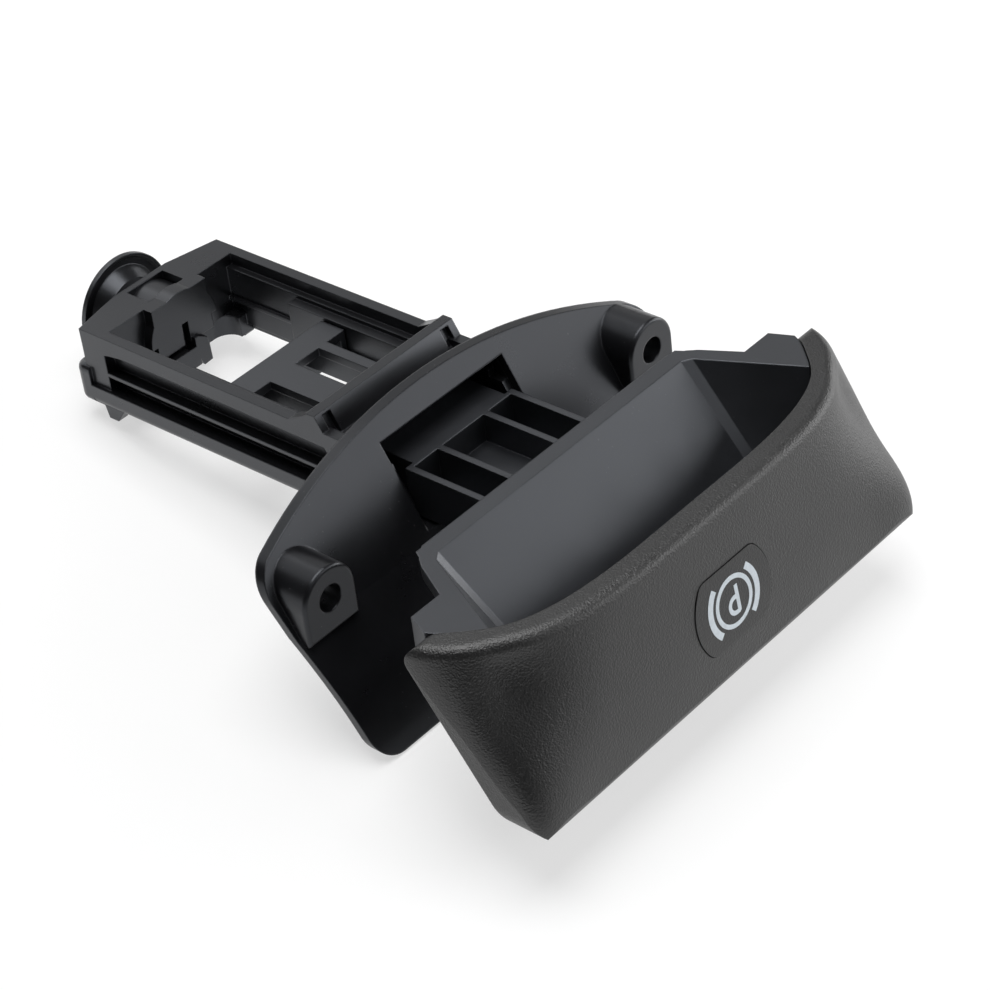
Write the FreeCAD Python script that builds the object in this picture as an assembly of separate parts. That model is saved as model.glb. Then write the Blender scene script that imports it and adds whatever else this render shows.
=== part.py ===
# Parking brake release unit for a dashboard: a pull handle on a slider that runs in a guide.
# Millimetres. Origin midway between the two screw bosses, on their front faces.
# +X is the handle's width, -Y the pull direction, +Z the side that the finger pocket opens to.
import FreeCAD, Part
import math
import os

V = FreeCAD.Vector

# Dash plane that the flange and the handle's back edge follow
dash_lean_deg = 30.0
lean = math.tan(math.radians(dash_lean_deg))

# Screw bosses
hole_spacing = 97.2
hole_d = 5.8
boss_d = 13.8
boss_flat_drop = 7.8
boss_edge_round = 0.8

# Mounting flange
flange_wall = 2.1
flange_face_y = 6.3
flange_crown_z = 16.9
flange_crown_x = -2.4
flange_arch_r = 135.0
flange_top_half_w = 57.6
flange_bottom_z = -32.0
flange_bottom_half_w = flange_top_half_w - 4.0
flange_top_corner_r = 7.0
flange_bottom_corner_r = 6.5
fold_z = -6.5
fold_lean_top = 0.86
fold_lean_bottom = 0.36

# Slot in the flange
slot_half_w = 18.1
slot_top_z = 11.9
slot_bottom_z = -5.2

# Guide box behind the flange
guide_half_w = 20.5
guide_top_z = 10.6
guide_bottom_z = -7.6
guide_rear_y = 97.1
guide_nose_y = 99.9
guide_nose_half_w = 7.5
rim_half_w = guide_half_w - 2.5
rim_band_h = 3.5
web_outer_x = guide_half_w - 2.5
web_inner_x = web_outer_x - 1.6
foot_flange_h = 4.8
foot_flange_proud = 0.9
foot_round = 2.0
foot_plate = 2.2
skirt_top_z = 1.7
skirt_rear_proud = 3.4
skirt_front_inset = 1.0
skirt_corner_round = 2.6
skirt_round = 1.6
ledge_z = 1.2
ledge_h = 0.9
arch_len = 14.8
arch_steps = 6
band_overlap = 0.8
inner_ledge_proud = 0.7
inner_ledge_low_z = 0.0
inner_ledge_top_z = 0.9
crossbar_front_y = 90.5
block_front_y = 88.1
block_half_w = 8.0
block_bottom_z = -1.8
groove_rear_y = 96.8
bottom_bar_front_y = 86.9
bottom_notch_left = 1.9
bottom_notch_right = 14.2
bottom_notch_rear_y = 91.4
bottom_notch_r = 4.0
snap_front_y = 86.9
cable_slot_left = -0.6
cable_slot_right = 1.2
cable_slot_top_z = 3.4
bulge_wall = 1.0
lug_len = 6.7
lug_rear_y = 94.0
lug_h = 3.0
lug_wall = 2.6

# Collar and tunnel that join the guide to the flange
collar_top_z = 13.9
collar_top_y = 28.3
collar_wall = 2.4
ramp_len = 7.6
tunnel_roof_z = 9.0
mouth_roof_z = 13.8
mouth_depth = 4.5
mouth_roof_run = 5.0
mouth_ceiling_start = 3.0
collar_groove_out = guide_half_w - 1.8
collar_groove_in = collar_groove_out - 2.4
collar_groove_top_z = 13.2
collar_groove_depth = 1.5

# Slider tongue
tongue_half_w = web_inner_x - 0.4
tongue_top_z = 6.1
tongue_bottom_z = -4.4
tongue_rear_y = 60.1
tongue_plate = 2.0
rib_wall = 1.5
inner_rib_x = 7.6
short_rib_bottom_z = -0.3
short_rib_front_y = 36.5
window_rear_y = 53.5
window_len = 15.9
side_window_out = tongue_half_w - 2.1
side_window_in = side_window_out - 5.4
middle_window_left = -1.0
middle_window_right = 5.9
trough_rear_y = 8.5
middle_trough_depth = 6.4
tongue_gap = 0.25

wing_top_z = -3.2
wing_front_y = 9.5

# Rails that hold the tongue's wings down inside the guide, and the ledges the wings run on
rail_inner_x = web_inner_x - 2.4
rail_front_y = 36.5
rail_rear_y = 70.0
tongue_neck_half_w = rail_inner_x - tongue_gap
rail_top_z = 6.9
rail_bottom_z = -2.9
ledge_run_inner_x = web_inner_x - 1.9
ledge_run_rear_y = 58.0
ledge_run_h = 1.6

# Travel of the handle from where it stands to its closed stop, and the gap left there
close_travel = 26.2
stop_gap = 0.3

# Grip body with the finger pocket
grip_top_z = 10.6
rim_h = 3.0
ear_front_y = -34.6
ear_front_half_w = flange_top_half_w - 0.7
ear_outer_half_w = ear_front_half_w - 3.3
ear_inner_half_w = ear_outer_half_w - 7.8
ear_bottom_z = -7.6
pocket_rim = 4.0
pocket_front_y = -41.5
pocket_front_half_w = ear_outer_half_w - 4.8
pocket_flare_half_w = pocket_front_half_w - 10.4
pocket_flare_drop = 1.4
pocket_rear_half_w = pocket_flare_half_w - 2.0
pocket_slope = 1.0
pocket_floor_z = -5.5
floor_front_half_w = pocket_front_half_w - 2.8
floor_flare_half_w = pocket_flare_half_w - 2.2
floor_rear_half_w = pocket_rear_half_w - 2.1
rim_rear_half_w = pocket_rear_half_w + 0.4
rim_corner_half_w = pocket_flare_half_w + 1.6
rim_corner_drop = 2.2
flare_y = -18.2
flare_half_w = rim_corner_half_w + 1.5
floor_front_y = -50.0
grip_wall = 2.4
grip_front_wall = 2.0
grip_skin = 1.9
grip_outer_rib_x = pocket_rear_half_w - 2.4
grip_inner_rib_x = 12.0
grip_rib_rear_y = -40.0
clip_window_rear = 3.4
clip_window_len = 11.4
clip_low_z = 0.5
clip_high_z = 7.2

# Front cover
cover_wall = 2.4
cover_gap = 0.2
cover_top_z = 10.9
cover_mid_z = -7.4
cover_low_z = -19.0
cover_bottom_z = -26.2
cover_half_w = ear_front_half_w + 4.3
cover_front_y = -53.1
cover_rear_y = -35.2
lip_w = 5.0
lip_round = 2.6
cover_low_round = 5.0
cover_end_round = 6.8
cover_rear_corner_round = 3.2
clip_reach = 4.4
clip_len = 3.6
clip_t = 1.0

# Symbol plate in the cover's face
badge_r = 11.2
badge_half_h = 8.1
badge_z = -8.4
badge_corner_round = 3.0
badge_depth = 1.5
badge_gap = 0.15
badge_proud = 0.15

# Cable socket at the guide's rear
socket_z = 1.6
disc_r = 12.1
disc_y = 106.0
disc_t = 1.2
disc_rim = 1.3
disc_dish = 0.8
neck_r = 7.3
flare_r = 9.4
flare_len = 3.0
barrel_r = 8.5
barrel_rear_y = 98.6
barrel_front_y = 90.3
cable_bore_r = 3.0
socket_gap = 0.1
window_half_w = 5.2
window_front_y = 91.8
window_rear_edge_y = 98.4

# Values worked out from the sizes above
hole_x = hole_spacing / 2
lean_shift = flange_wall * math.hypot(1, lean)
far = 200.0
ear_y = -close_travel - stop_gap
rim_rear_y = flange_face_y + lean * grip_top_z - close_travel - stop_gap
pocket_rear_y = rim_rear_y - pocket_rim + 0.3


def face_y(z):
    """Where the flat upper part of the flange's face stands at a height."""
    return flange_face_y + lean * z


def prism(points, axis, start, end):
    """A straight-sided solid from a closed outline, pushed along one axis."""
    place = {"x": lambda u, v: V(start, u, v), "y": lambda u, v: V(u, start, v), "z": lambda u, v: V(u, v, start)}
    push = {"x": V(end - start, 0, 0), "y": V(0, end - start, 0), "z": V(0, 0, end - start)}
    corners = [place[axis](u, v) for u, v in points]
    return Part.Face(Part.makePolygon(corners + corners[:1])).extrude(push[axis])


def block(x0, x1, y0, y1, z0, z1):
    """A box between two corners."""
    return Part.makeBox(x1 - x0, y1 - y0, z1 - z0, V(x0, y0, z0))


def rod(radius, x, z, y0, y1):
    """A round bar along the pull direction."""
    return Part.makeCylinder(radius, y1 - y0, V(x, y0, z), V(0, 1, 0))


def mirrored(shape):
    """The same piece on the other side of the middle plane."""
    return shape.mirror(V(0, 0, 0), V(1, 0, 0))


def both(shape):
    """The piece with its mirror image."""
    return shape.fuse(mirrored(shape))


def fused(shapes):
    """Several solids as one, with their shared faces merged."""
    return shapes[0].multiFuse(shapes[1:]).removeSplitter()


def parallel_edges(shape, direction, inside):
    """The straight edges along a direction whose middle passes a test."""
    picked = []
    for edge in shape.Edges:
        if edge.Curve.TypeId != "Part::GeomLine":
            continue
        run = edge.valueAt(edge.LastParameter) - edge.valueAt(edge.FirstParameter)
        if run.cross(direction).Length < 1e-6 * run.Length and inside(edge.CenterOfMass):
            picked.append(edge)
    return picked


# Flange profile seen from the side, as a region in front of a surface shifted back by some amount
def in_front_of_flange(shift, half_w):
    fold = V(0, face_y(fold_z) + shift, fold_z)
    drop = fold_z - flange_bottom_z
    bottom_y = fold.y - drop * (fold_lean_top + fold_lean_bottom) / 2
    foot = V(0, bottom_y, flange_bottom_z)
    middle = V(0, fold.y - fold_lean_top * drop / 2, fold_z - drop / 2)
    top_z = flange_crown_z + 10
    low_z = flange_bottom_z - 10
    top = V(0, face_y(top_z) + shift, top_z)
    low = V(0, bottom_y - fold_lean_bottom * 10, low_z)
    apron = Part.BezierCurve()
    apron.setPoles([fold, middle, foot])
    edges = [
        Part.LineSegment(top, fold).toShape(),
        apron.toShape(),
        Part.LineSegment(foot, low).toShape(),
        Part.LineSegment(low, V(0, -far, low_z)).toShape(),
        Part.LineSegment(V(0, -far, low_z), V(0, -far, top_z)).toShape(),
        Part.LineSegment(V(0, -far, top_z), top).toShape(),
    ]
    region = Part.Face(Part.Wire(edges)).extrude(V(2 * half_w, 0, 0))
    region.translate(V(-half_w, 0, 0))
    return region


# Outline of the flange seen along the pull direction
def flange_outline():
    def arch_z(x):
        return flange_crown_z - (x - flange_crown_x) ** 2 / (2 * flange_arch_r)

    left = -flange_top_half_w
    right = flange_top_half_w
    crown = V(flange_crown_x, 0, flange_crown_z)
    top_left = V(left, 0, arch_z(left))
    top_right = V(right, 0, arch_z(right))
    low_left = V(-flange_bottom_half_w, 0, flange_bottom_z)
    low_right = V(flange_bottom_half_w, 0, flange_bottom_z)
    wire = Part.Wire([
        Part.Arc(top_left, crown, top_right).toShape(),
        Part.LineSegment(top_right, low_right).toShape(),
        Part.LineSegment(low_right, low_left).toShape(),
        Part.LineSegment(low_left, top_left).toShape(),
    ])
    plate = Part.Face(wire).extrude(V(0, 2 * far, 0))
    plate.translate(V(0, -far, 0))
    top_corners = parallel_edges(plate, V(0, 1, 0), lambda c: c.z > 0)
    plate = plate.makeFillet(flange_top_corner_r, top_corners)
    low_corners = parallel_edges(plate, V(0, 1, 0), lambda c: c.z < flange_bottom_z + 0.1)
    return plate.makeFillet(flange_bottom_corner_r, low_corners)


# Screw boss: round on top, flat below, standing forward of the flange
def screw_boss():
    r = boss_d / 2
    barrel = rod(r, hole_x, 0, 0, 2 * far)
    skirt = block(hole_x - r, hole_x + r, 0, 2 * far, -boss_flat_drop, 0)
    boss = barrel.fuse(skirt).removeSplitter()
    front = [e for e in boss.Edges if e.BoundBox.YMax < 1e-6]
    return boss.makeFillet(boss_edge_round, front)


def mounting_flange():
    back = in_front_of_flange(lean_shift, far)
    plate = flange_outline().common(back).cut(in_front_of_flange(0, far))
    bosses = both(screw_boss()).common(back)
    flange = plate.fuse(bosses).removeSplitter()
    slot = block(-slot_half_w, slot_half_w, -far, far, slot_bottom_z, slot_top_z)
    holes = both(rod(hole_d / 2, hole_x, 0, -far, far))
    return flange.cut(slot).cut(holes)


# One side wall of the guide: a band at the top, a set-in web, a thin ledge and a wide foot flange
def guide_side():
    outer = guide_half_w + foot_flange_proud
    front = collar_top_y - lean * (collar_top_z - guide_bottom_z)
    wall = block(web_inner_x, outer, front, guide_rear_y, guide_bottom_z, guide_top_z)
    wall = wall.makeFillet(foot_round, parallel_edges(wall, V(0, 1, 0), lambda c: c.x > guide_half_w and c.z < 0))
    band_bottom = guide_top_z - rim_band_h
    foot_top = guide_bottom_z + foot_flange_h
    ledge_top = ledge_z + ledge_h / 2
    rim_relief = block(0, rim_half_w, -far, crossbar_front_y, band_bottom + band_overlap, far)
    foot_relief = block(0, rim_half_w, -far, crossbar_front_y, -far, guide_bottom_z + foot_plate)
    above_foot = block(guide_half_w, far, -far, far, foot_top, far)
    arch = []
    for step in range(arch_steps + 1):
        turn = math.pi / 2 * step / arch_steps
        y = groove_rear_y - arch_len * (1 - math.cos(turn))
        arch.append((y, ledge_top + (band_bottom - ledge_top) * math.sin(turn)))
    upper_groove = prism([(-far, ledge_top)] + arch + [(-far, band_bottom)], "x", web_outer_x, far)
    lower_groove = block(web_outer_x, far, -far, groove_rear_y, foot_top, ledge_top - ledge_h)
    wall = wall.cut(rim_relief).cut(foot_relief).cut(above_foot).cut(upper_groove).cut(lower_groove)
    rail = block(rail_inner_x, web_inner_x, rail_front_y, rail_rear_y, rail_bottom_z, rail_top_z)
    run = block(ledge_run_inner_x, web_inner_x, front, ledge_run_rear_y,
                tongue_bottom_z - tongue_gap - ledge_run_h, tongue_bottom_z - tongue_gap)
    inner_ledge = block(web_inner_x - inner_ledge_proud, web_inner_x, rail_rear_y, crossbar_front_y,
                        inner_ledge_low_z, inner_ledge_top_z)
    return fused([wall, rail, run, inner_ledge])


# Foot flange carried round the rear corner of the guide
def rear_skirt():
    outer = guide_half_w + foot_flange_proud
    front = groove_rear_y - skirt_front_inset
    skirt = block(0, outer, front, guide_rear_y + skirt_rear_proud, guide_bottom_z, skirt_top_z)
    corner = parallel_edges(skirt, V(0, 0, 1), lambda c: c.x > 1 and c.y > guide_rear_y)
    skirt = skirt.makeFillet(skirt_corner_round, corner)
    rim = [e for e in skirt.Edges if abs(e.BoundBox.ZMax - e.BoundBox.ZMin) < 1e-6
           and (e.CenterOfMass.y > guide_rear_y or e.CenterOfMass.x > guide_half_w)]
    return skirt.makeFillet(skirt_round, rim)


# Rear end of the guide: a bar with a round chamber for the cable socket and a slot for the cable
def guide_crossbar():
    outline = [
        (-guide_half_w, crossbar_front_y), (guide_half_w, crossbar_front_y), (guide_half_w, guide_rear_y),
        (guide_nose_half_w, guide_nose_y), (-guide_nose_half_w, guide_nose_y), (-guide_half_w, guide_rear_y),
    ]
    bar = prism(outline, "z", guide_bottom_z, guide_top_z)
    front_block = block(-block_half_w, block_half_w, block_front_y, crossbar_front_y, block_bottom_z, guide_top_z)
    sill_top = guide_bottom_z + foot_flange_h
    sill = block(-web_outer_x, web_outer_x, bottom_bar_front_y, crossbar_front_y, guide_bottom_z, sill_top)
    bulge = rod(barrel_r + socket_gap + bulge_wall, 0, socket_z, block_front_y, window_front_y)
    bulge = bulge.common(block(-far, far, -far, far, socket_z, far))
    bar = fused([bar, front_block, sill, bulge, both(rear_skirt())])
    notch = block(bottom_notch_left, bottom_notch_right, 0, bottom_notch_rear_y, -far, sill_top)
    corners = parallel_edges(notch, V(0, 0, 1), lambda c: c.y > 1)
    notch = notch.makeFillet(bottom_notch_r, corners)
    chamber = rod(barrel_r + socket_gap, 0, socket_z, barrel_front_y - socket_gap, barrel_rear_y + socket_gap)
    throat = rod(neck_r + socket_gap, 0, socket_z, barrel_rear_y, far)
    cable_slot = block(cable_slot_left, cable_slot_right, block_front_y - 1, barrel_front_y, -far, cable_slot_top_z)
    window = block(-window_half_w, window_half_w, window_front_y, window_rear_edge_y, socket_z, far)
    bar = bar.cut(notch).cut(chamber).cut(throat).cut(cable_slot).cut(window)
    return fused([bar, snap_tab()])


# Small catch with bevelled corners under the crossbar's front block
def snap_tab():
    left = cable_slot_right + 0.1
    top = block_bottom_z + 1.1
    low = guide_bottom_z - 0.6
    return prism([
        (left, top), (left + 1.1, top), (left + 3.4, top - 1.4), (left + 3.7, top - 3.2),
        (left + 3.8, low + 0.2), (left + 1.4, low), (left, top - 4.2),
    ], "y", snap_front_y, barrel_front_y - 2 * socket_gap)


# Collar, tunnel and the ramps that carry the guide on the flange
def collar_and_tunnel():
    def collar_y(z):
        return collar_top_y - lean * (collar_top_z - z)

    profile = [
        (collar_y(guide_bottom_z), guide_bottom_z), (collar_y(collar_top_z), collar_top_z),
        (collar_y(collar_top_z) + collar_wall, collar_top_z), (collar_y(guide_bottom_z) + collar_wall, guide_bottom_z),
    ]
    collar = prism(profile, "x", -guide_half_w, guide_half_w)
    groove = prism([
        (collar_y(collar_groove_top_z) - 1, collar_groove_top_z),
        (collar_y(collar_groove_top_z) + collar_groove_depth, collar_groove_top_z),
        (collar_y(tunnel_roof_z) + collar_groove_depth, tunnel_roof_z),
        (collar_y(tunnel_roof_z) - 1, tunnel_roof_z),
    ], "x", collar_groove_in, collar_groove_out)
    ramp = prism([
        (collar_top_y + ramp_len, guide_top_z), (collar_top_y + collar_wall / 2, collar_top_z),
        (collar_top_y, guide_top_z),
    ], "x", rim_half_w, guide_half_w)
    front = face_y(guide_bottom_z) - 2
    roof_start_y = face_y(mouth_roof_z) + lean_shift + 1
    tunnel = prism([
        (front, guide_bottom_z), (collar_top_y, guide_bottom_z), (collar_top_y, tunnel_roof_z),
        (roof_start_y + mouth_roof_run, tunnel_roof_z), (roof_start_y, mouth_roof_z), (front, mouth_roof_z),
    ], "x", -guide_half_w, guide_half_w)
    behind_collar = prism([
        (collar_y(-far) + 0.5, -far), (collar_y(far) + 0.5, far), (far, far), (far, -far),
    ], "x", -far, far)
    tunnel = tunnel.cut(behind_collar).cut(in_front_of_flange(lean_shift, far))
    body = fused([collar.cut(both(groove)), both(ramp), tunnel])
    run_top = tongue_top_z + tongue_gap
    run = block(-web_inner_x, web_inner_x, -far, far, tongue_bottom_z - tongue_gap, run_top)
    ceiling_y = face_y(slot_top_z) + mouth_ceiling_start
    ceiling_run = mouth_roof_run * (slot_top_z - run_top) / (mouth_roof_z - tunnel_roof_z)
    mouth = prism([
        (face_y(slot_bottom_z), slot_bottom_z), (face_y(slot_bottom_z) + mouth_depth, slot_bottom_z),
        (face_y(slot_bottom_z) + mouth_depth, run_top), (ceiling_y + ceiling_run, run_top),
        (ceiling_y, slot_top_z), (face_y(slot_top_z), slot_top_z),
    ], "x", -slot_half_w, slot_half_w)
    return body.cut(run).cut(mouth)


def locating_lug():
    top = guide_bottom_z + 1
    front = lug_rear_y - lug_len
    side = prism([
        (front, top), (lug_rear_y, top), (lug_rear_y - 1, guide_bottom_z - lug_h), (front + 3, guide_bottom_z - lug_h),
    ], "x", guide_half_w - lug_wall, guide_half_w)
    return side


def guide_housing():
    half = guide_side().fuse(locating_lug())
    return fused([collar_and_tunnel(), both(half), guide_crossbar()])


# Cable socket: a turned sleeve with a dished disc, held in the guide's rear chamber
def cable_socket():
    profile = [
        (cable_bore_r, barrel_front_y), (barrel_r, barrel_front_y), (barrel_r, barrel_rear_y),
        (neck_r, barrel_rear_y), (neck_r, disc_y + disc_dish - flare_len), (flare_r, disc_y + disc_dish),
        (disc_r - disc_rim, disc_y + disc_dish),
        (disc_r - disc_rim / 2, disc_y), (disc_r, disc_y), (disc_r, disc_y + disc_t), (cable_bore_r, disc_y + disc_t),
    ]
    points = [V(r, y, 0) for r, y in profile]
    face = Part.Face(Part.makePolygon(points + points[:1]))
    socket = face.revolve(V(0, 0, 0), V(0, 1, 0), 360)
    socket.translate(V(0, 0, socket_z))
    return socket


# Slider: the tongue with its ribs, troughs, windows and the wings that run under the rails
def slider_tongue():
    front = pocket_rear_y - pocket_slope * (grip_top_z - tongue_bottom_z) - 4
    trough_floor = tongue_top_z - middle_trough_depth
    under_roof = tongue_top_z - tongue_plate
    window_front = window_rear_y - window_len
    outer = block(-tongue_half_w, tongue_half_w, front, tongue_rear_y, tongue_bottom_z, tongue_top_z)
    shoulder = block(tongue_neck_half_w, far, wing_front_y, far, wing_top_z, far)
    side_bay = block(inner_rib_x, tongue_half_w - rib_wall, front, trough_rear_y, tongue_bottom_z + tongue_plate, far)
    middle_bay = block(rib_wall - inner_rib_x, inner_rib_x - rib_wall, front, trough_rear_y, trough_floor, far)
    hollow_front = trough_rear_y + rib_wall
    hollow_rear = tongue_rear_y - rib_wall
    under_side = block(inner_rib_x, tongue_neck_half_w - rib_wall, hollow_front, hollow_rear, -far, under_roof)
    under_middle = block(rib_wall - inner_rib_x, inner_rib_x - rib_wall, hollow_front, hollow_rear, -far, under_roof)
    short_rib = block(inner_rib_x - 2 * rib_wall, inner_rib_x + rib_wall, short_rib_front_y, hollow_rear,
                      -far, short_rib_bottom_z)
    side_window = block(side_window_in, side_window_out, window_front, window_rear_y, 0, far)
    middle_window = block(middle_window_left, middle_window_right, window_front, window_rear_y, 0, far)
    cuts = [both(shoulder), both(side_bay), middle_bay, both(under_side), under_middle, short_rib,
            both(side_window), middle_window]
    tongue = outer
    for tool in cuts:
        tongue = tongue.cut(tool)
    return tongue


# Outline of the finger pocket at a height, grown outwards by a wall
def pocket_outline(z, grow):
    t = (grip_top_z - z) / (grip_top_z - pocket_floor_z)

    def between(top, low):
        return top + (low - top) * t

    rear_y = pocket_rear_y - pocket_slope * (grip_top_z - z)
    rear = (between(pocket_rear_half_w, floor_rear_half_w) + grow, rear_y + grow * math.hypot(1, pocket_slope))
    flare = (between(pocket_flare_half_w, floor_flare_half_w) + grow, rear_y - pocket_flare_drop + grow / 2)
    front = (between(pocket_front_half_w, floor_front_half_w) + grow, between(pocket_front_y, floor_front_y))
    half = [rear, flare, front, (front[0], -far)]
    points = half + [(-x, y) for x, y in reversed(half)]
    corners = [V(x, y, z) for x, y in points]
    return Part.makePolygon(corners + corners[:1])


def tub(top_z, low_z, grow):
    return Part.makeLoft([pocket_outline(top_z, grow), pocket_outline(low_z, grow)], True, True)


# One outline of the cover: its corner is given by how far each point lies in from the end and back from the front
def cover_section(z, half_w, front_y, corner):
    return z, front_y, [(half_w - inset, front_y + back) for inset, back in corner]


# Cover surface as a loft of outlines from the lip down: the end stands in and the front stands out as it goes
cover_sections = [
    cover_section(cover_top_z, cover_half_w, cover_front_y,
                  [(33.2, 0.6), (20.2, 3.0), (11.6, 7.0), (5.4, 12.9), (1.8, 17.5), (0, 22.1)]),
    cover_section(cover_mid_z, cover_half_w - 0.6, cover_front_y - 3.6,
                  [(30.6, 0.3), (17.6, 1.1), (9.0, 3.4), (3.4, 7.5), (0.9, 11.1), (0, 15.2)]),
    cover_section(cover_low_z, cover_half_w - 1.4, cover_front_y - 5.0,
                  [(27.8, 0), (14.8, 0.1), (6.4, 0.2), (1.9, 1.7), (0.5, 3.5), (0, 5.7)]),
    cover_section(cover_bottom_z, cover_half_w - 2.1, cover_front_y - 5.5,
                  [(27.1, 0), (14.1, 0), (5.9, 0.1), (1.7, 1.3), (0.5, 2.7), (0, 4.5)]),
]


def cover_outline(z, front_y, curve, inset):
    end_x, end_y = curve[-1]
    wall = [(end_x, end_y * step / 4) for step in (3, 2, 1, 0)]
    right = curve + wall
    path = [V(-x, y, 0) for x, y in reversed(right)] + [V(0, front_y, 0)] + [V(x, y, 0) for x, y in right]
    points = []
    for i, here in enumerate(path):
        along = path[min(i + 1, len(path) - 1)] - path[max(i - 1, 0)]
        along.normalize()
        points.append(V(here.x - inset * along.y, here.y + inset * along.x, z))
    spline = Part.BSplineCurve()
    spline.interpolate(Points=points)
    return Part.Wire([spline.toShape(), Part.LineSegment(points[-1], points[0]).toShape()])


def cover_body(inset):
    return Part.makeLoft([cover_outline(z, y, curve, inset) for z, y, curve in cover_sections], True, False)


# Upright prism inside the cover's mouth, drawn in by a gap
def cover_mouth(gap, low_z, high_z):
    z, front_y, curve = cover_sections[0]
    outline = Part.Face(cover_outline(z, front_y, curve, lip_w + gap))
    outline.translate(V(0, 0, low_z - z))
    return outline.extrude(V(0, 0, high_z - low_z))


# Ear beside the pocket, hollow from below, with a window for the cover's clip
def grip_ear():
    rear = ear_y
    outline = [
        (flare_half_w, rear), (ear_outer_half_w, rear), (ear_front_half_w, ear_front_y),
        (ear_front_half_w, ear_front_y - 10), (flare_half_w, ear_front_y - 10),
    ]
    ear = prism(outline, "z", ear_bottom_z, grip_top_z)
    hollow = prism([
        (ear_inner_half_w + grip_wall, rear - grip_wall), (ear_outer_half_w - grip_wall, rear - grip_wall),
        (ear_front_half_w - grip_wall, ear_front_y), (ear_front_half_w - grip_wall, ear_front_y - 8),
        (ear_inner_half_w + grip_wall, ear_front_y - 8),
    ], "z", ear_bottom_z - 1, grip_top_z - grip_wall)
    window_rear = rear - clip_window_rear
    window = block(ear_outer_half_w - 1, far, window_rear - clip_window_len, window_rear, clip_low_z, clip_high_z)
    return ear.cut(hollow).cut(window)


# Rim round the top of the pocket
def grip_rim():
    half = [
        (rim_rear_half_w, rim_rear_y), (rim_corner_half_w, rim_rear_y - rim_corner_drop), (flare_half_w, flare_y),
        (ear_inner_half_w, ear_y), (ear_inner_half_w + 1, -far),
    ]
    rim = prism(half + [(-x, y) for x, y in reversed(half)], "z", grip_top_z - rim_h, grip_top_z)
    return rim.common(in_front_of_flange(-close_travel - stop_gap, far))


def handle_slider():
    shell = tub(grip_top_z, pocket_floor_z, grip_wall).fuse(
        tub(pocket_floor_z, pocket_floor_z - grip_skin, grip_wall))
    ribs = []
    for x in (-grip_outer_rib_x, -grip_inner_rib_x, grip_inner_rib_x, grip_outer_rib_x):
        ribs.append(block(x - rib_wall / 2, x + rib_wall / 2, -far, grip_rib_rear_y, -far, pocket_floor_z))
    solid = fused([shell, grip_rim(), both(grip_ear())] + ribs)
    inside_cover = cover_body(cover_wall + cover_gap)
    low = cover_bottom_z + cover_wall + cover_gap
    under_lip = inside_cover.common(block(-far, far, -far, far, low, cover_top_z - cover_wall - cover_gap))
    in_mouth = cover_mouth(cover_gap, cover_top_z - cover_wall - cover_gap - 0.5, grip_top_z)
    body = solid.common(under_lip.fuse(in_mouth)).fuse(slider_tongue())
    cavity = tub(grip_top_z, pocket_floor_z, 0)
    head = tub(grip_top_z + 5, grip_top_z, 0)
    front = cover_body(cover_wall + cover_gap + grip_front_wall)
    cavity = cavity.common(front).fuse(head)
    return body.cut(cavity).removeSplitter()


# Badge outline: a round plate with its top and bottom cut straight
def badge_plug(gap):
    disc = Part.makeCylinder(badge_r + gap, far, V(0, -far, badge_z), V(0, 1, 0))
    half_h = badge_half_h + gap
    plate = disc.common(block(-far, far, -far, 0, badge_z - half_h, badge_z + half_h))
    return plate.makeFillet(badge_corner_round, parallel_edges(plate, V(0, 1, 0), lambda c: True))


# Space in front of the cover's back edge, rounded at the top of that edge and under the front
def side_profile():
    top_y = cover_rear_y + lean * cover_top_z
    low_y = cover_rear_y + lean * cover_bottom_z
    front_y = cover_sections[-1][1]
    region = prism([
        (low_y, cover_bottom_z), (top_y, cover_top_z), (front_y, cover_top_z), (front_y, cover_bottom_z),
    ], "x", -far, far)
    rear = parallel_edges(region, V(1, 0, 0), lambda c: abs(c.y - top_y) < 1e-3)
    region = region.makeFillet(cover_rear_corner_round, rear)
    low = parallel_edges(region, V(1, 0, 0), lambda c: abs(c.y - front_y) < 1e-3 and c.z < 0)
    return region.makeFillet(cover_low_round, low)


# Front view of the cover, wider at the top, with its lower corners rounded
def front_profile():
    low_x = cover_sections[-1][2][-1][0]
    top_x = cover_sections[0][2][-1][0] + cover_gap
    region = prism([
        (-low_x, cover_bottom_z), (low_x, cover_bottom_z), (top_x, cover_top_z), (-top_x, cover_top_z),
    ], "y", -far, far)
    corners = parallel_edges(region, V(0, 1, 0), lambda c: c.z < cover_bottom_z + 1)
    return region.makeFillet(cover_end_round, corners)


def front_cover():
    outside = cover_body(0)
    top = [e for e in outside.Edges if e.BoundBox.ZMin > cover_top_z - 1e-3 and e.BoundBox.YMin < -1]
    outside = outside.makeFillet(lip_round, top).common(side_profile()).common(front_profile())
    cavity = cover_body(cover_wall)
    cavity = cavity.common(block(-far, far, -far, far, cover_bottom_z + cover_wall, cover_top_z - cover_wall))
    mouth = cover_mouth(0, cover_top_z - cover_wall - 1, cover_top_z + 5)
    clip_root = ear_front_half_w + cover_gap + cover_wall
    clip_tip = clip_root - clip_reach
    clip_top = clip_high_z - cover_gap
    clip_front = ear_y - clip_window_rear - clip_window_len + clip_t
    clip = prism([
        (clip_root, clip_low_z + clip_t), (clip_root, clip_top), (clip_tip, clip_top), (clip_tip, clip_top - clip_t),
    ], "y", clip_front, clip_front + clip_len)
    clip = clip.common(cover_body(cover_wall / 2))
    recess = badge_plug(badge_gap).cut(cover_body(badge_depth))
    shell = outside.cut(cavity).cut(mouth).cut(recess)
    return shell.fuse(both(clip))


def symbol_insert():
    plug = badge_plug(0)
    return plug.common(cover_body(-badge_proud)).cut(cover_body(badge_depth))


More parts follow.
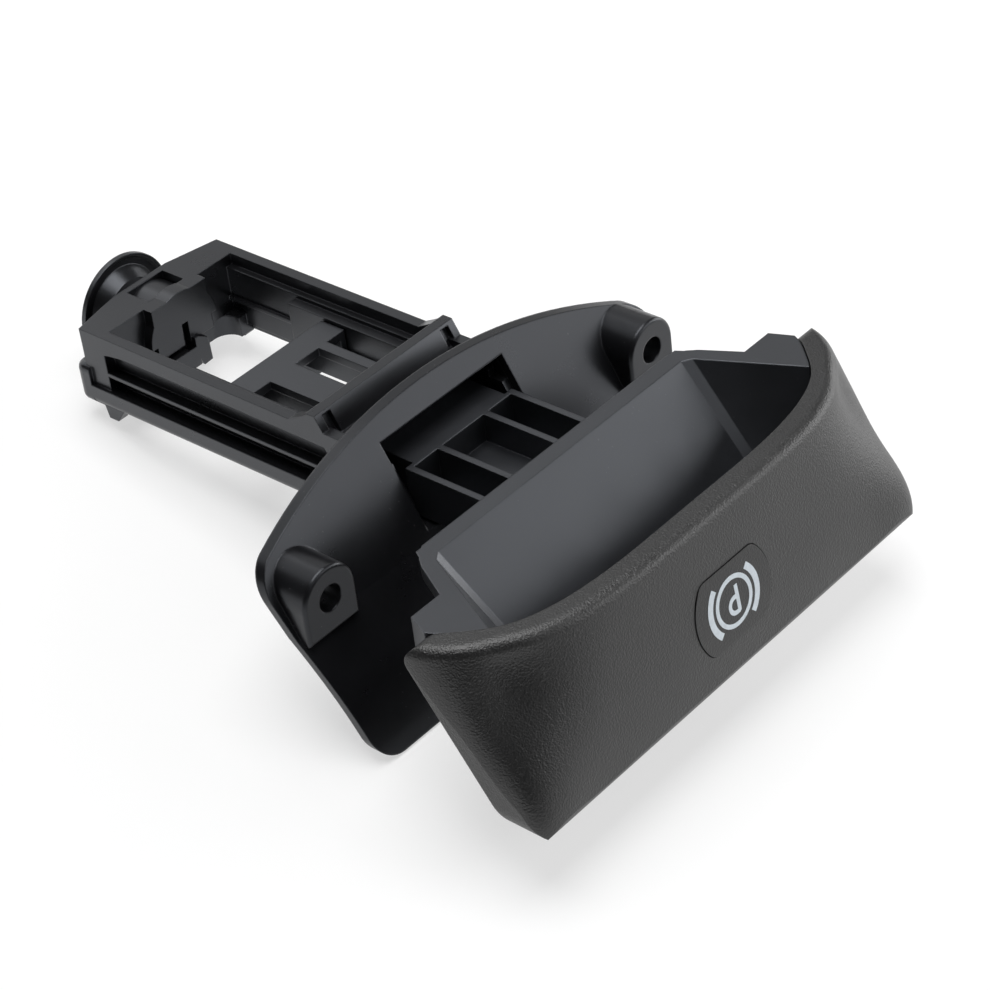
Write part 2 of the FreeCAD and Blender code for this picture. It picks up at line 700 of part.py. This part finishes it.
def main():
    os.makedirs("parts", exist_ok=True)
    nodes = {
        "guide_housing": guide_housing(),
        "mounting_flange": mounting_flange(),
        "cable_socket": cable_socket(),
        "handle_slider": handle_slider(),
        "front_cover": front_cover(),
        "symbol_insert": symbol_insert(),
    }
    for name, shape in nodes.items():
        shape.exportStep("parts/" + name + ".step")


main()
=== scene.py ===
"""Looks of a parking brake control unit: moulded black plastics and a printed brake symbol."""
import logging
import math
from dataclasses import dataclass, field
from enum import Enum
from typing import Any, Sequence

import bmesh
import bpy
from mathutils import Matrix, Vector
from mathutils.bvhtree import BVHTree


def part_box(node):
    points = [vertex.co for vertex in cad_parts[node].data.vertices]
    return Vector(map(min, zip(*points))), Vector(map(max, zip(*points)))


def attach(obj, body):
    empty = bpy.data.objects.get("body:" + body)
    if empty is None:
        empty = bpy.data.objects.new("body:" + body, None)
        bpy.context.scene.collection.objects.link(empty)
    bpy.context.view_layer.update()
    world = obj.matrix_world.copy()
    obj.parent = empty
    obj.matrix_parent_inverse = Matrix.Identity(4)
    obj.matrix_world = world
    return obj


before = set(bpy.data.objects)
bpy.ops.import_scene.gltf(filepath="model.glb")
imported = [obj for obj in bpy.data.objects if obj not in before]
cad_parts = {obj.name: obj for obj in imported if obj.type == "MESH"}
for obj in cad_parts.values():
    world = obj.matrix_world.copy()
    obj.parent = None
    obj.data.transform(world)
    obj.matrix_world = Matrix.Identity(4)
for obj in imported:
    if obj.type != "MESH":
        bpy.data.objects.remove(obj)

Colour = tuple[float, float, float]
Point = tuple[float, float]

MM = 0.001
IMAGE_PX = 990
WHITE: Colour = (1.0, 1.0, 1.0)
COOL: Colour = (0.88, 0.92, 1.0)
MERGE_M = 1e-7
log = logging.getLogger("brake_unit")


def opaque(colour: Colour, factor: float = 1.0) -> tuple[float, float, float, float]:
    """Turn a colour into the four values that a colour socket takes.

    Args:
        colour: red, green and blue.
        factor: what all three are multiplied by.

    Returns:
        The colour with full alpha.
    """
    red, green, blue = colour
    return red * factor, green * factor, blue * factor, 1.0


class Form(Enum):
    """The strokes that the brake symbol is drawn with."""

    RING = "ring"
    SHOE = "shoe"
    LETTER = "letter"


class Wire:
    """One shader socket that takes part in ordinary arithmetic."""

    def __init__(self, graph: "Graph", socket: bpy.types.NodeSocket) -> None:
        """Keep the socket.

        Args:
            graph: the graph that new nodes go to.
            socket: the output socket this wire stands for.
        """
        self.graph = graph
        self.socket = socket

    def _math(self, operation: str, *terms: Any) -> "Wire":
        """Add one Math node.

        Args:
            operation: the node's operation.
            terms: its inputs in order, as wires or numbers.

        Returns:
            The node's result.
        """
        return self.graph.node("ShaderNodeMath", {"operation": operation}, dict(enumerate(terms)))

    def __add__(self, other: Any) -> "Wire":
        """Return this plus the other."""
        return self._math("ADD", self, other)

    __radd__ = __add__

    def __mul__(self, other: Any) -> "Wire":
        """Return this times the other."""
        return self._math("MULTIPLY", self, other)

    __rmul__ = __mul__

    def __sub__(self, other: Any) -> "Wire":
        """Return this minus the other."""
        return self._math("SUBTRACT", self, other)

    def __rsub__(self, other: Any) -> "Wire":
        """Return the other minus this."""
        return self._math("SUBTRACT", other, self)

    def above(self, limit: float, soft: float) -> "Wire":
        """Fade from 0 to 1 as the value passes a limit.

        Args:
            limit: the value at the middle of the fade.
            soft: the width of the fade.

        Returns:
            A wire between 0 and 1.
        """
        values = {0: self, 1: limit - soft / 2, 2: limit + soft / 2, 3: 0.0, 4: 1.0}
        return self.graph.node("ShaderNodeMapRange", {"interpolation_type": "SMOOTHSTEP"}, values)


class Graph:
    """A shader node tree with one way to add a node."""

    def __init__(self, tree: bpy.types.NodeTree) -> None:
        """Keep the tree.

        Args:
            tree: the node tree that nodes go to.
        """
        self.tree = tree

    def node(self, kind: str, settings: dict[str, Any] | None = None,
             values: dict[Any, Any] | None = None, output: Any = 0) -> Wire:
        """Add a node, set it up, then fill its sockets.

        Args:
            kind: the node's type.
            settings: properties to set before the sockets are filled.
            values: socket names or places with a number, a colour or a wire.
            output: the name or place of the socket to return.

        Returns:
            The chosen output as a wire.
        """
        made = self.tree.nodes.new(kind)
        for key, value in (settings or {}).items():
            setattr(made, key, value)
        for key, value in (values or {}).items():
            self.fill(made.inputs[key], value)
        return Wire(self, made.outputs[output])

    def fill(self, socket: bpy.types.NodeSocket, value: Any) -> None:
        """Link a wire to a socket, or set its value.

        Args:
            socket: the input socket.
            value: a wire, a number or a colour.
        """
        if isinstance(value, Wire):
            self.tree.links.new(value.socket, socket)
        else:
            socket.default_value = value


class Shader(Graph):
    """A material's graph, with its place and its patterns."""

    def __init__(self, name: str) -> None:
        """Start a material that holds only its surface and output.

        Args:
            name: the material's name.
        """
        self.material = bpy.data.materials.new(name)
        self.material.use_nodes = True
        super().__init__(self.material.node_tree)
        self.surface = self.tree.nodes["Principled BSDF"]
        self.place = self.node("ShaderNodeTexCoord", output="Object")

    def noise(self, size_mm: float, detail: float = 2.0) -> Wire:
        """Make smooth noise about 0.5.

        Args:
            size_mm: about how wide its blotches are.
            detail: how much finer noise is laid over them.

        Returns:
            The noise.
        """
        values = {"Vector": self.place, "Scale": 1 / (size_mm * MM), "Detail": detail}
        return self.node("ShaderNodeTexNoise", {"noise_dimensions": "3D"}, values)

    def cells(self, size_mm: float, smoothness: float = 0.6) -> Wire:
        """Measure the distance to the nearest of scattered points, for a pebbled grain.

        Args:
            size_mm: about how wide the cells are.
            smoothness: how far they run into each other.

        Returns:
            The distance, in cells.
        """
        values = {"Vector": self.place, "Scale": 1 / (size_mm * MM), "Smoothness": smoothness}
        return self.node("ShaderNodeTexVoronoi", {"feature": "SMOOTH_F1"}, values)

    def blend(self, amount: Any, low: Any, high: Any) -> Wire:
        """Mix two colours.

        Args:
            amount: 0 for the first and 1 for the second.
            low: the first colour.
            high: the second colour.

        Returns:
            The mixed colour.
        """
        return self.node("ShaderNodeMix", {"data_type": "RGBA"}, {0: amount, 6: low, 7: high}, output=2)

    def relief(self, height: Wire, depth_mm: float, normal: Wire) -> Wire:
        """Raise a surface by a height.

        Args:
            height: the height, in parts of the depth.
            depth_mm: how deep a height of 1 is.
            normal: the normal to start from.

        Returns:
            The new normal.
        """
        values = {"Distance": depth_mm * MM, "Height": height, "Normal": normal}
        return self.node("ShaderNodeBump", values=values)

    def seen(self) -> Wire:
        """Tell looking rays from lighting rays.

        Returns:
            1 for camera, reflected and refracted rays, and 0 for plain light.
        """
        camera = self.node("ShaderNodeLightPath", output="Is Camera Ray")
        others = camera.socket.node.outputs
        glossy = Wire(self, others["Is Glossy Ray"])
        clear = Wire(self, others["Is Transmission Ray"])
        return (camera + glossy + clear).above(0.5, 0.2)

    def finish(self, **values: Any) -> bpy.types.Material:
        """Set the surface's sockets.

        Args:
            values: a value for each socket, its name with underscores for spaces.

        Returns:
            The finished material.
        """
        for key, value in values.items():
            self.fill(self.surface.inputs[key.replace("_", " ")], value)
        return self.material


@dataclass(frozen=True)
class Dust:
    """Pale specks that gather in patches."""

    amount: float
    colour: Colour = (0.3, 0.3, 0.31)
    speck_mm: float = 0.55
    speck_limit: float = 0.83
    speck_soft: float = 0.04
    patch_mm: float = 22.0
    patch_limit: float = 0.55
    patch_soft: float = 0.2

    def over(self, shader: Shader, colour: Wire) -> Wire:
        """Lay the specks over a colour.

        Args:
            shader: the material's graph.
            colour: the colour below.

        Returns:
            The colour with its specks.
        """
        specks = shader.noise(self.speck_mm, 0.0).above(self.speck_limit, self.speck_soft)
        patches = shader.noise(self.patch_mm, 1.0).above(self.patch_limit, self.patch_soft)
        return shader.blend(specks * patches * self.amount, colour, opaque(self.colour))


@dataclass(frozen=True)
class MouldedPlastic:
    """A black moulded plastic, from its gloss and its surface grain."""

    name: str
    colour: Colour
    roughness: float
    shine: float
    shine_tint: Colour = WHITE
    edge_mm: float = 0.3
    edge_samples: int = 6
    grain_mm: float = 0.4
    grain_depth_mm: float = 0.004
    grain_pebble: float = 0.65
    grain_fine: float = 0.7
    grain_fine_share: float = 0.8
    dust: Dust | None = None
    mottle: float = 0.12
    mottle_mm: float = 14.0
    blotch_gloss: float = 0.16
    fine_gloss: float = 0.05
    fine_mm: float = 0.9
    ripple_mm: float = 9.0
    ripple_depth_mm: float = 0.006

    def material(self) -> bpy.types.Material:
        """Build the finish.

        Returns:
            The finished material.
        """
        shader = Shader(self.name)
        blotch = shader.noise(self.mottle_mm, 3.0)
        colour = shader.blend(blotch.above(0.5, 0.5), opaque(self.colour, 1 - self.mottle),
                              opaque(self.colour, 1 + self.mottle))
        if self.dust:
            colour = self.dust.over(shader, colour)
        uneven = self.blotch_gloss * (blotch - 0.5) + self.fine_gloss * (shader.noise(self.fine_mm) - 0.5)
        return shader.finish(Base_Color=colour, Roughness=self.roughness + uneven,
                             Normal=self._relief(shader), Specular_IOR_Level=self.shine,
                             Specular_Tint=opaque(self.shine_tint))

    def _relief(self, shader: Shader) -> Wire:
        """Round the edges, then add a slow ripple and the grain.

        Args:
            shader: the material's graph.

        Returns:
            The surface's normal.
        """
        edge = shader.node("ShaderNodeBevel", {"samples": self.edge_samples}, {"Radius": self.edge_mm * MM})
        ripple = shader.relief(shader.noise(self.ripple_mm, 1.0), self.ripple_depth_mm, edge)
        pebbles = shader.cells(self.grain_mm) * self.grain_pebble
        fine = shader.noise(self.grain_mm * self.grain_fine_share) * self.grain_fine
        return shader.relief(pebbles + fine, self.grain_depth_mm, ripple)


@dataclass(frozen=True)
class PrintedInk:
    """Pale printed ink with a slightly uneven cover."""

    name: str
    colour: Colour
    roughness: float = 0.42
    uneven_mm: float = 0.8
    uneven_shade: float = 0.9
    uneven_gloss: float = 0.12

    def material(self) -> bpy.types.Material:
        """Build the ink.

        Returns:
            The finished material.
        """
        shader = Shader(self.name)
        uneven = shader.noise(self.uneven_mm)
        thin = opaque(self.colour, self.uneven_shade)
        colour = shader.blend(uneven.above(0.5, 0.5), thin, opaque(self.colour))
        return shader.finish(Base_Color=colour, Roughness=self.roughness + self.uneven_gloss * (uneven - 0.5))


@dataclass(frozen=True)
class FloorPaper:
    """White paper that keeps its shadows, and is lifted towards white where it is looked at."""

    name: str = "floor_white"
    shade: float = 0.83
    roughness: float = 0.7
    shine: float = 0.2
    lift: float = 0.5
    white: float = 1.14

    def material(self) -> bpy.types.Material:
        """Build the paper.

        Returns:
            The finished material.
        """
        shader = Shader(self.name)
        paper = shader.finish(Base_Color=opaque(WHITE, self.shade), Roughness=self.roughness,
                              Specular_IOR_Level=self.shine)
        plain = Wire(shader, shader.surface.outputs[0])
        glow = shader.node("ShaderNodeEmission", values={"Color": opaque(WHITE), "Strength": self.white})
        mixed = shader.node("ShaderNodeMixShader", values={0: shader.seen() * self.lift, 1: plain, 2: glow})
        shader.fill(shader.tree.nodes["Material Output"].inputs["Surface"], mixed)
        return paper


GUIDE_FINISH = MouldedPlastic(
    "guide_satin", (0.0042, 0.0042, 0.0048), roughness=0.3, shine=0.72, shine_tint=COOL,
    edge_mm=0.35, grain_mm=0.5, grain_depth_mm=0.006)
FLANGE_FINISH = MouldedPlastic(
    "flange_semi_gloss", (0.005, 0.005, 0.0058), roughness=0.3, shine=0.45, shine_tint=COOL,
    edge_mm=0.5, grain_depth_mm=0.003, dust=Dust(0.12))
SOCKET_FINISH = MouldedPlastic(
    "socket_gloss", (0.005, 0.005, 0.0055), roughness=0.34, shine=0.7, shine_tint=COOL, grain_depth_mm=0.003)
SLIDER_FINISH = MouldedPlastic(
    "slider_satin", (0.0062, 0.0066, 0.0078), roughness=0.38, shine=1.0, shine_tint=COOL,
    edge_mm=0.4, grain_mm=0.35, grain_depth_mm=0.006, dust=Dust(0.08))
COVER_FINISH = MouldedPlastic(
    "cover_grain", (0.0062, 0.0062, 0.0064), roughness=0.42, shine=0.7,
    edge_mm=0.4, grain_mm=0.42, grain_depth_mm=0.11)
PLATE_FINISH = MouldedPlastic(
    "symbol_plate", (0.0056, 0.0056, 0.0058), roughness=0.42, shine=0.6,
    edge_mm=0.2, grain_mm=0.42, grain_depth_mm=0.07)
SYMBOL_INK = PrintedInk("symbol_ink", (0.62, 0.68, 0.73))


class StrokeTree:
    """Geometry Nodes that turn a path into a flat printed stroke and repeat it round the middle."""

    SOCKETS = {
        "Path": "NodeSocketGeometry", "Width": "NodeSocketFloat", "Thickness": "NodeSocketFloat",
        "Step": "NodeSocketFloat", "Copies": "NodeSocketInt", "Ink": "NodeSocketMaterial",
    }

    def __init__(self) -> None:
        """Build the tree with its named inputs."""
        self.tree = bpy.data.node_groups.new("symbol_stroke", "GeometryNodeTree")
        for name, kind in self.SOCKETS.items():
            self.tree.interface.new_socket(name, in_out="INPUT", socket_type=kind)
        self.tree.interface.new_socket("Stroke", in_out="OUTPUT", socket_type="NodeSocketGeometry")
        start = self._add("NodeGroupInput").outputs
        end = self._add("NodeGroupOutput")
        link = self.tree.links.new
        ribbon = self._ribbon(start)
        spin = self._even_turns(start["Copies"])
        centre = self._add("GeometryNodePoints")
        spread = self._add("GeometryNodeInstanceOnPoints")
        whole = self._add("GeometryNodeRealizeInstances")
        paint = self._add("GeometryNodeSetMaterial")
        link(start["Copies"], centre.inputs["Count"])
        link(centre.outputs[0], spread.inputs["Points"])
        link(ribbon, spread.inputs["Instance"])
        link(spin, spread.inputs["Rotation"])
        link(spread.outputs[0], whole.inputs[0])
        link(whole.outputs[0], paint.inputs["Geometry"])
        link(start["Ink"], paint.inputs["Material"])
        link(paint.outputs[0], end.inputs["Stroke"])

    def _add(self, kind: str, **settings: Any) -> bpy.types.Node:
        """Add one node.

        Args:
            kind: the node's type.
            settings: its properties.

        Returns:
            The node.
        """
        made = self.tree.nodes.new(kind)
        for key, value in settings.items():
            setattr(made, key, value)
        return made

    def _ribbon(self, start: Any) -> bpy.types.NodeSocket:
        """Sweep a flat section along the path.

        Args:
            start: the tree's inputs.

        Returns:
            The ribbon's mesh.
        """
        link = self.tree.links.new
        fine = self._add("GeometryNodeResampleCurve", mode="LENGTH")
        profile = self._add("GeometryNodeCurvePrimitiveQuadrilateral")
        ribbon = self._add("GeometryNodeCurveToMesh")
        link(start["Path"], fine.inputs["Curve"])
        link(start["Step"], fine.inputs["Length"])
        link(start["Width"], profile.inputs["Width"])
        link(start["Thickness"], profile.inputs["Height"])
        link(fine.outputs[0], ribbon.inputs["Curve"])
        link(profile.outputs[0], ribbon.inputs["Profile Curve"])
        ribbon.inputs["Fill Caps"].default_value = True
        return ribbon.outputs[0]

    def _even_turns(self, copies: bpy.types.NodeSocket) -> bpy.types.NodeSocket:
        """Share a whole turn out among the copies.

        Args:
            copies: how many there are.

        Returns:
            Each copy's rotation.
        """
        link = self.tree.links.new
        index = self._add("GeometryNodeInputIndex")
        share = self._add("ShaderNodeMath", operation="DIVIDE")
        turn = self._add("ShaderNodeMath", operation="MULTIPLY")
        spin = self._add("ShaderNodeCombineXYZ")
        link(index.outputs[0], share.inputs[0])
        link(copies, share.inputs[1])
        link(share.outputs[0], turn.inputs[0])
        turn.inputs[1].default_value = 2 * math.pi
        link(turn.outputs[0], spin.inputs["Z"])
        return spin.outputs[0]

    def run(self, path: bpy.types.Object, **values: Any) -> bpy.types.Mesh:
        """Run the tree on a path object and take the result as a plain mesh.

        Args:
            path: a curve object that is removed afterwards.
            values: the tree's inputs by name.

        Returns:
            The stroke's mesh.
        """
        modifier = path.modifiers.new("stroke", "NODES")
        modifier.node_group = self.tree
        for item in self.tree.interface.items_tree:
            if item.in_out == "INPUT" and item.name in values:
                modifier[item.identifier] = values[item.name]
        bpy.context.view_layer.update()
        evaluated = path.evaluated_get(bpy.context.evaluated_depsgraph_get())
        mesh = bpy.data.meshes.new_from_object(evaluated)
        bpy.data.objects.remove(path)
        return mesh


@dataclass
class BrakeSymbol:
    """The printed symbol on the plate: a ring, two shoe arcs and the letter, seen upside down."""

    ring_outer_mm: float = 10.9
    ring_stroke_mm: float = 0.95
    ring_points: int = 60
    shoe_outer_mm: float = 15.4
    shoe_stroke_mm: float = 1.45
    shoe_half_deg: float = 47.0
    shoe_points: int = 31
    letter_height_mm: float = 6.1
    letter_width_mm: float = 3.5
    letter_stroke_mm: float = 0.95
    letter_shift_mm: float = 0.15
    bowl_share: float = 0.27
    bowl_step_deg: int = 15
    print_mm: float = 0.05
    step_mm: float = 0.3
    plate: str = "symbol_insert"
    strokes: StrokeTree = field(default_factory=StrokeTree)

    def _path(self, name: str, points: Sequence[Point], closed: bool) -> bpy.types.Object:
        """Make a poly curve in its own XY plane.

        Args:
            name: the curve's name.
            points: its points, in millimetres.
            closed: whether its end joins its start.

        Returns:
            The curve's object.
        """
        curve = bpy.data.curves.new(name, "CURVE")
        curve.dimensions = "3D"
        spline = curve.splines.new("POLY")
        spline.points.add(len(points) - 1)
        for target, (x, y) in zip(spline.points, points):
            target.co = (x * MM, y * MM, 0, 1)
        spline.use_cyclic_u = closed
        made = bpy.data.objects.new(name, curve)
        bpy.context.scene.collection.objects.link(made)
        return made

    def _arc(self, radius: float, start_deg: float, end_deg: float, count: int) -> list[Point]:
        """Place points along an arc about the middle.

        Args:
            radius: the arc's radius.
            start_deg: where it starts.
            end_deg: where it ends.
            count: how many points it has.

        Returns:
            The points.
        """
        steps = count - 1
        angles = [math.radians(start_deg + (end_deg - start_deg) * i / steps) for i in range(count)]
        return [(radius * math.cos(a), radius * math.sin(a)) for a in angles]

    def _letter(self) -> list[Point]:
        """Draw the letter: up the stem, round the bowl and back to the stem.

        Returns:
            The points of its path.
        """
        stroke = self.letter_stroke_mm
        left = (stroke - self.letter_width_mm) / 2 + self.letter_shift_mm
        right = -left + 2 * self.letter_shift_mm
        top = (self.letter_height_mm - stroke) / 2
        bowl = self.letter_height_mm * self.bowl_share
        middle = top - bowl
        turns = [math.radians(90 - a) for a in range(0, 181, self.bowl_step_deg)]
        turn = [(right - bowl + bowl * math.cos(a), middle + bowl * math.sin(a)) for a in turns]
        return [(left, -top - stroke / 2), (left, top)] + turn + [(left, middle - bowl)]

    def build(self) -> bpy.types.Object:
        """Print the symbol on the plate's face.

        Returns:
            The symbol as one piece.
        """
        ink = SYMBOL_INK.material()
        ring_r = (self.ring_outer_mm - self.ring_stroke_mm) / 2
        ring_end = 360 - 360 / self.ring_points
        shoe_r = (self.shoe_outer_mm - self.shoe_stroke_mm) / 2
        half = self.shoe_half_deg
        forms = {
            Form.RING: (self._arc(ring_r, 0, ring_end, self.ring_points), True, self.ring_stroke_mm, 1),
            Form.SHOE: (self._arc(shoe_r, -half, half, self.shoe_points), False, self.shoe_stroke_mm, 2),
            Form.LETTER: (self._letter(), False, self.letter_stroke_mm, 1),
        }
        meshes = []
        for form, (points, closed, stroke, copies) in forms.items():
            path = self._path(form.value, points, closed)
            meshes.append(self.strokes.run(path, Width=stroke * MM, Thickness=2 * self.print_mm * MM,
                                           Step=self.step_mm * MM, Copies=copies, Ink=ink))
        return self._on_plate(meshes)

    def _on_plate(self, meshes: Sequence[bpy.types.Mesh]) -> bpy.types.Object:
        """Lay the strokes on the plate's curved face, turned half round as the photograph shows.

        Args:
            meshes: the strokes, flat about the middle.

        Returns:
            The symbol as one piece.
        """
        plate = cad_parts[self.plate].data
        low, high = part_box(self.plate)
        face = BVHTree.FromPolygons([v.co for v in plate.vertices], [p.vertices for p in plate.polygons])
        middle = (low + high) / 2
        start_y = low.y - 10 * MM
        verts: list[Vector] = []
        faces: list[list[int]] = []
        for mesh in meshes:
            first = len(verts)
            for vertex in mesh.vertices:
                x = middle.x - vertex.co.x
                z = middle.z - vertex.co.y
                hit = face.ray_cast(Vector((x, start_y, z)), Vector((0, 1, 0)))[0]
                verts.append(Vector((x, hit.y - vertex.co.z, z)))
            faces += [[first + i for i in polygon.vertices] for polygon in mesh.polygons]
        joined = bpy.data.meshes.new("brake_symbol")
        joined.from_pydata(verts, [], faces)
        joined.materials.append(meshes[0].materials[0])
        joined.update()
        made = bpy.data.objects.new("brake_symbol", joined)
        bpy.context.scene.collection.objects.link(made)
        turn_outward(made)
        return made


def turn_outward(piece: bpy.types.Object) -> None:
    """Merge a closed piece's doubles and turn its faces outwards.

    Args:
        piece: the mesh object.
    """
    work = bmesh.new()
    work.from_mesh(piece.data)
    bmesh.ops.remove_doubles(work, verts=work.verts, dist=MERGE_M)
    bmesh.ops.recalc_face_normals(work, faces=work.faces)
    work.to_mesh(piece.data)
    work.free()


@dataclass
class Mouldings:
    """The mouldings of one body, each with its finish."""

    body: str
    finishes: dict[str, MouldedPlastic]

    def dress(self) -> list[str]:
        """Give each moulding its finish.

        Returns:
            The mouldings' names.
        """
        for name, finish in self.finishes.items():
            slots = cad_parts[name].data.materials
            slots.clear()
            slots.append(finish.material())
        return list(self.finishes)


@dataclass
class Housing(Mouldings):
    """The fixed side: guide, flange and cable socket."""

    body: str = "housing"
    finishes: dict[str, MouldedPlastic] = field(default_factory=lambda: {
        "guide_housing": GUIDE_FINISH, "mounting_flange": FLANGE_FINISH, "cable_socket": SOCKET_FINISH,
    })


@dataclass
class Handle(Mouldings):
    """The moving side: slider, cover and symbol plate."""

    body: str = "handle"
    finishes: dict[str, MouldedPlastic] = field(default_factory=lambda: {
        "handle_slider": SLIDER_FINISH, "front_cover": COVER_FINISH, "symbol_insert": PLATE_FINISH,
    })
    symbol: BrakeSymbol = field(default_factory=BrakeSymbol)

    def dress(self) -> list[str]:
        """Give each moulding its finish and print the symbol.

        Returns:
            The names of the mouldings and the symbol.
        """
        names = super().dress()
        symbol = self.symbol.build()
        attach(symbol, self.body)
        return names + [symbol.name]


@dataclass(frozen=True)
class SoftBox:
    """One rectangular soft light that faces the object, in the row frame."""

    name: str
    towards: tuple[float, float, float]
    watts: float
    size_mm: tuple[float, float] = (800, 800)
    distance_mm: float = 1000

    def hang(self) -> None:
        """Hang the light."""
        data = bpy.data.lights.new(self.name, "AREA")
        data.shape = "RECTANGLE"
        data.size = self.size_mm[0] * MM
        data.size_y = self.size_mm[1] * MM
        data.energy = self.watts
        lamp = bpy.data.objects.new(self.name, data)
        away = Vector(self.towards).normalized()
        turn = away.to_track_quat("Z", "Y").to_matrix().to_4x4()
        lamp.matrix_world = Matrix.Translation(away * self.distance_mm * MM) @ turn
        bpy.context.scene.collection.objects.link(lamp)


@dataclass
class Studio:
    """Camera, floor and light of the photograph."""

    eye_mm: tuple[float, float, float] = (-335.2, -333.1, 338.4)
    right: tuple[float, float, float] = (0.64757, -0.75489, -0.10387)
    forward: tuple[float, float, float] = (0.57130, 0.57118, -0.58938)
    focal_px: float = 2964.7
    sensor_mm: float = 36.0
    clip_m: tuple[float, float] = (0.01, 50)
    floor_tilt_deg: float = 10.2
    floor_size_mm: float = 6000.0
    paper: FloorPaper = FloorPaper()
    ambient: float = 0.03
    boxes: tuple[SoftBox, ...] = (
        SoftBox("top_box", (0, 0, 1), 10.0),
        SoftBox("back_box", (0, 1, 0.6), 2.5),
        SoftBox("back_right_box", (0.6, 0.6, 0.6), 1.2),
        SoftBox("right_box", (1, -0.25, 0.15), 4.0, (800, 500)),
        SoftBox("front_box", (0, -1, 0.6), 1.0),
        SoftBox("front_right_box", (0.62, -0.8, 0.32), 4.0, (900, 600)),
    )

    def camera(self) -> None:
        """Place the camera as the photograph was taken."""
        forward = Vector(self.forward).normalized()
        right = Vector(self.right)
        right = (right - forward * right.dot(forward)).normalized()
        up = right.cross(forward)
        data = bpy.data.cameras.new("photo_camera")
        data.sensor_width = self.sensor_mm
        data.lens = self.focal_px / IMAGE_PX * self.sensor_mm
        data.clip_start, data.clip_end = self.clip_m
        eye = bpy.data.objects.new("photo_camera", data)
        turn = Matrix((right, up, -forward)).transposed()
        eye.matrix_world = Matrix.Translation(Vector(self.eye_mm) * MM) @ turn.to_4x4()
        bpy.context.scene.collection.objects.link(eye)
        bpy.context.scene.camera = eye

    @property
    def up(self) -> Vector:
        """The photograph's upward direction in the row frame."""
        tilt = math.radians(self.floor_tilt_deg)
        return Vector((0, -math.sin(tilt), math.cos(tilt)))

    def floor(self) -> None:
        """Lay the pale floor under the lowest points."""
        up = self.up
        lowest = min(v.co.dot(up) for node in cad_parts.values() for v in node.data.vertices)
        half = self.floor_size_mm * MM / 2
        middle = up * lowest
        across = Vector((1, 0, 0)) * half
        along = up.cross(Vector((1, 0, 0))).normalized() * half
        sheet = [middle - across - along, middle + across - along,
                 middle + across + along, middle - across + along]
        mesh = bpy.data.meshes.new("floor")
        mesh.from_pydata(sheet, [], [(0, 1, 2, 3)])
        if mesh.polygons[0].normal.dot(up) < 0:
            mesh.flip_normals()
        made = bpy.data.objects.new("floor", mesh)
        bpy.context.scene.collection.objects.link(made)
        mesh.materials.append(self.paper.material())

    def sky(self) -> None:
        """Set the world to a faint even light, since the floor fills the picture."""
        world = bpy.data.worlds.new("studio")
        world.use_nodes = True
        bpy.context.scene.world = world
        background = world.node_tree.nodes["Background"]
        background.inputs["Color"].default_value = opaque(WHITE)
        background.inputs["Strength"].default_value = self.ambient

    def build(self) -> None:
        """Set up the whole studio."""
        self.camera()
        self.floor()
        self.sky()
        for box in self.boxes:
            box.hang()
        bpy.context.scene.view_settings.view_transform = "Standard"


def main() -> None:
    """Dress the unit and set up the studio."""
    logging.basicConfig(level=logging.INFO, format="%(name)s: %(message)s")
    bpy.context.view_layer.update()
    for assembly in (Housing(), Handle()):
        for name in assembly.dress():
            log.info("%s: %s", assembly.body, name)
    Studio().build()


if __name__ == "__main__":
    main()
